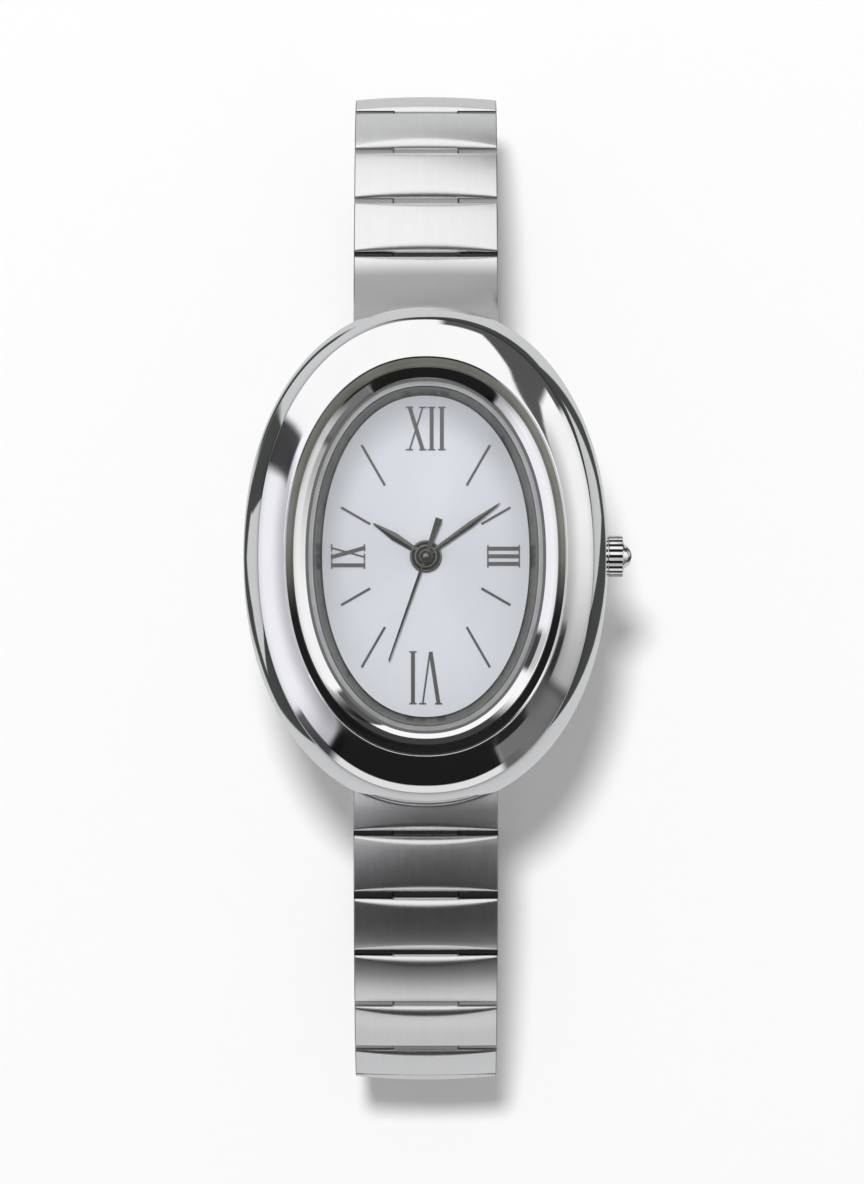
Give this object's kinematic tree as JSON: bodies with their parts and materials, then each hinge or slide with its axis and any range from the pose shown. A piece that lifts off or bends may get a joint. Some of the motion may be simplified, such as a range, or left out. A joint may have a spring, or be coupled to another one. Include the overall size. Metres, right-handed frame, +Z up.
{
  "type": "wristwatch",
  "caption": "Oval quartz wristwatch with a domed polished bezel and a link bracelet that folds open at its clasp.",
  "frame": {"origin": "on the hands' axis, where it meets the surface that the closed watch stands on", "axes": "+X towards 3 o'clock and the crown, +Y towards 12 o'clock, +Z up out of the dial"},
  "size_m": [0.0267, 0.0701, 0.0362],
  "materials": {
    "polished_case": "mirror-polished steel",
    "brushed_link": "brushed along the band, polished at the bevels",
    "satin_back": "circular satin",
    "satin_blade": "satin",
    "polished_clasp": "lengthwise satin with polished edges",
    "crystal": "clear flat mineral glass",
    "white_gasket": "translucent white nylon",
    "black_rubber": "matte",
    "dark_ring": "dark polished slope",
    "silver_dial": "silver-white fine sunray",
    "dark_print": "grey metallic print",
    "hand_steel": "polished grey steel",
    "bright_steel": "polished",
    "plate_steel": "satin",
    "plate_brass": "nickel-washed brass",
    "wheel_brass": "gilt",
    "copper": "enamelled copper wire",
    "green_board": "solder mask",
    "white_plastic": "moulded nylon"
  },
  "bodies": {
    "watch_head": {"case_body": "polished_case", "case_back": "satin_back", "back_gasket": "black_rubber", "crystal": "crystal", "crystal_gasket": "white_gasket", "rehaut_ring": "dark_ring", "dial": "silver_dial", "dial_markers": "dark_print", "movement_ring": "white_plastic", "main_plate": "plate_brass", "train_bridge": "plate_steel", "bridge_screws": "bright_steel", "circuit_board": "green_board", "coil": "copper", "stator": "plate_steel", "battery": "bright_steel", "battery_clamp": "plate_steel", "spring_bars": "bright_steel"},
    "crown_slider": {"crown_seal": "black_rubber"},
    "crown_and_stem": {"crown": "polished_case", "crown_stem": "bright_steel"},
    "sliding_pinion": {"sliding_pinion": "bright_steel"},
    "setting_lever": {"setting_lever": "plate_steel"},
    "rotor": {"rotor": "bright_steel"},
    "fifth_wheel": {"fifth_wheel": "wheel_brass"},
    "second_hand_and_wheel": {"second_wheel": "wheel_brass", "second_hand": "hand_steel"},
    "third_wheel": {"third_wheel": "wheel_brass"},
    "minute_hand_and_wheel": {"centre_wheel": "wheel_brass", "minute_hand": "hand_steel"},
    "minute_wheel": {"minute_wheel": "wheel_brass"},
    "hour_hand_and_wheel": {"hour_wheel": "wheel_brass", "hour_hand": "hand_steel"},
    "setting_wheel": {"setting_wheel": "wheel_brass"},
    "end_piece_12": {"end_piece_12": "brushed_link"},
    "end_piece_6": {"end_piece_6": "brushed_link"},
    "link_12_1": {"link_12_1": "brushed_link"},
    "link_12_2": {"link_12_2": "brushed_link"},
    "link_12_3": {"link_12_3": "brushed_link"},
    "link_12_4": {"link_12_4": "brushed_link"},
    "link_12_5": {"link_12_5": "brushed_link"},
    "link_12_6": {"link_12_6": "brushed_link"},
    "link_12_7": {"link_12_7": "brushed_link"},
    "link_12_8": {"link_12_8": "brushed_link"},
    "link_12_9": {"link_12_9": "brushed_link"},
    "link_12_10": {"link_12_10": "brushed_link"},
    "link_6_1": {"link_6_1": "brushed_link"},
    "link_6_2": {"link_6_2": "brushed_link"},
    "link_6_3": {"link_6_3": "brushed_link"},
    "link_6_4": {"link_6_4": "brushed_link"},
    "link_6_5": {"link_6_5": "brushed_link"},
    "link_6_6": {"link_6_6": "brushed_link"},
    "link_6_7": {"link_6_7": "brushed_link"},
    "link_6_8": {"link_6_8": "brushed_link"},
    "link_6_9": {"link_6_9": "brushed_link"},
    "link_6_10": {"link_6_10": "brushed_link"},
    "link_6_11": {"link_6_11": "brushed_link"},
    "clasp_inner_blade": {"clasp_inner_blade": "satin_blade"},
    "clasp_outer_blade": {"clasp_outer_blade": "satin_blade"},
    "clasp_cover": {"clasp_cover": "polished_clasp"}
  },
  "joints": [
    {"name": "end_piece_12_hinge", "type": "hinge", "parent": "watch_head", "child": "end_piece_12", "pos_m": [0, 0.01445, 0.03005], "axis": [1, 0, 0], "range_deg": [0, 20]},
    {"name": "link_12_1_hinge", "type": "hinge", "parent": "end_piece_12", "child": "link_12_1", "pos_m": [0, 0.02056, 0.02783], "axis": [1, 0, 0], "range_deg": [0, 10]},
    {"name": "link_12_2_hinge", "type": "hinge", "parent": "link_12_1", "child": "link_12_2", "pos_m": [0, 0.02435, 0.02581], "axis": [1, 0, 0], "range_deg": [0, 9]},
    {"name": "link_12_3_hinge", "type": "hinge", "parent": "link_12_2", "child": "link_12_3", "pos_m": [0, 0.02788, 0.02334], "axis": [1, 0, 0], "range_deg": [0, 16.5]},
    {"name": "link_12_4_hinge", "type": "hinge", "parent": "link_12_3", "child": "link_12_4", "pos_m": [0, 0.03067, 0.02007], "axis": [1, 0, 0], "range_deg": [0, 28.3]},
    {"name": "link_12_5_hinge", "type": "hinge", "parent": "link_12_4", "child": "link_12_5", "pos_m": [0, 0.03172, 0.0159], "axis": [1, 0, 0], "range_deg": [0, 26.71]},
    {"name": "link_12_6_hinge", "type": "hinge", "parent": "link_12_5", "child": "link_12_6", "pos_m": [0, 0.03094, 0.01168], "axis": [1, 0, 0], "range_deg": [0, 22]},
    {"name": "link_12_7_hinge", "type": "hinge", "parent": "link_12_6", "child": "link_12_7", "pos_m": [0, 0.02876, 0.00797], "axis": [1, 0, 0], "range_deg": [0, 20]},
    {"name": "link_12_8_hinge", "type": "hinge", "parent": "link_12_7", "child": "link_12_8", "pos_m": [0, 0.02554, 0.00512], "axis": [1, 0, 0], "range_deg": [0, 16]},
    {"name": "link_12_9_hinge", "type": "hinge", "parent": "link_12_8", "child": "link_12_9", "pos_m": [0, 0.02172, 0.00314], "axis": [1, 0, 0], "range_deg": [0, 15]},
    {"name": "link_12_10_hinge", "type": "hinge", "parent": "link_12_9", "child": "link_12_10", "pos_m": [0, 0.01756, 0.00206], "axis": [1, 0, 0], "range_deg": [0, 11]},
    {"name": "end_piece_6_hinge", "type": "hinge", "parent": "watch_head", "child": "end_piece_6", "pos_m": [0, -0.01445, 0.03005], "axis": [-1, 0, 0], "range_deg": [0, 8]},
    {"name": "link_6_1_hinge", "type": "hinge", "parent": "end_piece_6", "child": "link_6_1", "pos_m": [0, -0.01891, 0.02942], "axis": [-1, 0, 0], "range_deg": [0, 3.8]},
    {"name": "link_6_2_hinge", "type": "hinge", "parent": "link_6_1", "child": "link_6_2", "pos_m": [0, -0.02314, 0.02869], "axis": [-1, 0, 0], "range_deg": [0, 16.2]},
    {"name": "link_6_3_hinge", "type": "hinge", "parent": "link_6_2", "child": "link_6_3", "pos_m": [0, -0.02707, 0.02694], "axis": [-1, 0, 0], "range_deg": [0, 11]},
    {"name": "link_6_4_hinge", "type": "hinge", "parent": "link_6_3", "child": "link_6_4", "pos_m": [0, -0.03068, 0.0246], "axis": [-1, 0, 0], "range_deg": [0, 12]},
    {"name": "link_6_5_hinge", "type": "hinge", "parent": "link_6_4", "child": "link_6_5", "pos_m": [0, -0.03382, 0.02167], "axis": [-1, 0, 0], "range_deg": [0, 21]},
    {"name": "link_6_6_hinge", "type": "hinge", "parent": "link_6_5", "child": "link_6_6", "pos_m": [0, -0.03584, 0.01787], "axis": [-1, 0, 0], "range_deg": [0, 29.41]},
    {"name": "link_6_7_hinge", "type": "hinge", "parent": "link_6_6", "child": "link_6_7", "pos_m": [0, -0.03589, 0.01357], "axis": [-1, 0, 0], "range_deg": [0, 24]},
    {"name": "link_6_8_hinge", "type": "hinge", "parent": "link_6_7", "child": "link_6_8", "pos_m": [0, -0.03432, 0.00957], "axis": [-1, 0, 0], "range_deg": [0, 20]},
    {"name": "link_6_9_hinge", "type": "hinge", "parent": "link_6_8", "child": "link_6_9", "pos_m": [0, -0.03159, 0.00625], "axis": [-1, 0, 0], "range_deg": [0, 18]},
    {"name": "link_6_10_hinge", "type": "hinge", "parent": "link_6_9", "child": "link_6_10", "pos_m": [0, -0.02805, 0.0038], "axis": [-1, 0, 0], "range_deg": [0, 16]},
    {"name": "link_6_11_hinge", "type": "hinge", "parent": "link_6_10", "child": "link_6_11", "pos_m": [0, -0.02402, 0.00229], "axis": [-1, 0, 0], "range_deg": [0, 14]},
    {"name": "clasp_inner_blade_hinge", "type": "hinge", "parent": "link_12_10", "child": "clasp_inner_blade", "pos_m": [0, 0.01328, 0.00165], "axis": [1, 0, 0], "range_deg": [0, 7.49]},
    {"name": "clasp_fold_hinge", "type": "hinge", "parent": "clasp_inner_blade", "child": "clasp_outer_blade", "pos_m": [0, -0.01747, 0.00155], "axis": [-1, 0, 0], "range_deg": [0, 105]},
    {"name": "clasp_cover_hinge", "type": "hinge", "parent": "clasp_outer_blade", "child": "clasp_cover", "pos_m": [0, 0.01088, 0.00115], "axis": [1, 0, 0], "range_deg": [0, 120]},
    {"name": "second_turn", "type": "hinge", "parent": "watch_head", "child": "second_hand_and_wheel", "pos_m": [0, 0, 0.02825], "axis": [0, 0, -1], "continuous": true},
    {"name": "rotor_turn", "type": "hinge", "parent": "watch_head", "child": "rotor", "pos_m": [-0.002, -0.0037, 0.02825], "axis": [0, 0, -1], "continuous": true},
    {"name": "fifth_turn", "type": "hinge", "parent": "watch_head", "child": "fifth_wheel", "pos_m": [-0.00075, -0.00228, 0.02825], "axis": [0, 0, -1], "continuous": true},
    {"name": "third_turn", "type": "hinge", "parent": "watch_head", "child": "third_wheel", "pos_m": [0.00184, 0.00184, 0.02825], "axis": [0, 0, -1], "continuous": true},
    {"name": "minute_turn", "type": "hinge", "parent": "watch_head", "child": "minute_hand_and_wheel", "pos_m": [0, 0, 0.02825], "axis": [0, 0, -1], "continuous": true},
    {"name": "minute_wheel_turn", "type": "hinge", "parent": "watch_head", "child": "minute_wheel", "pos_m": [0.00188, -0.00132, 0.02825], "axis": [0, 0, -1], "continuous": true},
    {"name": "hour_turn", "type": "hinge", "parent": "watch_head", "child": "hour_hand_and_wheel", "pos_m": [0, 0, 0.02825], "axis": [0, 0, -1], "continuous": true},
    {"name": "setting_wheel_turn", "type": "hinge", "parent": "watch_head", "child": "setting_wheel", "pos_m": [0.004, 0, 0.02825], "axis": [0, 0, -1], "continuous": true},
    {"name": "crown_pull", "type": "slide", "parent": "watch_head", "child": "crown_slider", "axis": [1, 0, 0], "range_m": [0, 0.0006]},
    {"name": "crown_turn", "type": "hinge", "parent": "crown_slider", "child": "crown_and_stem", "pos_m": [0.0125, 0, 0.03055], "axis": [1, 0, 0], "continuous": true},
    {"name": "pinion_slide", "type": "slide", "parent": "crown_and_stem", "child": "sliding_pinion", "axis": [-1, 0, 0], "range_m": [0, 0.00083]},
    {"name": "setting_lever_swing", "type": "hinge", "parent": "watch_head", "child": "setting_lever", "pos_m": [0.0062, -0.0022, 0.02825], "axis": [0, 0, -1], "range_deg": [0, 16.7]}
  ],
  "couplings": [
    {"joint": "rotor_turn", "follows": "second_turn", "ratio": 30},
    {"joint": "fifth_turn", "follows": "second_turn", "ratio": -5},
    {"joint": "third_turn", "follows": "second_turn", "ratio": -0.13333},
    {"joint": "minute_turn", "follows": "second_turn", "ratio": 0.016667},
    {"joint": "minute_wheel_turn", "follows": "second_turn", "ratio": -0.0055556},
    {"joint": "hour_turn", "follows": "second_turn", "ratio": 0.0013889},
    {"joint": "setting_wheel_turn", "follows": "second_turn", "ratio": 0.0125},
    {"joint": "pinion_slide", "follows": "crown_pull", "ratio": 1.3667},
    {"joint": "setting_lever_swing", "follows": "crown_pull", "rad_per_m": 482.9}
  ]
}
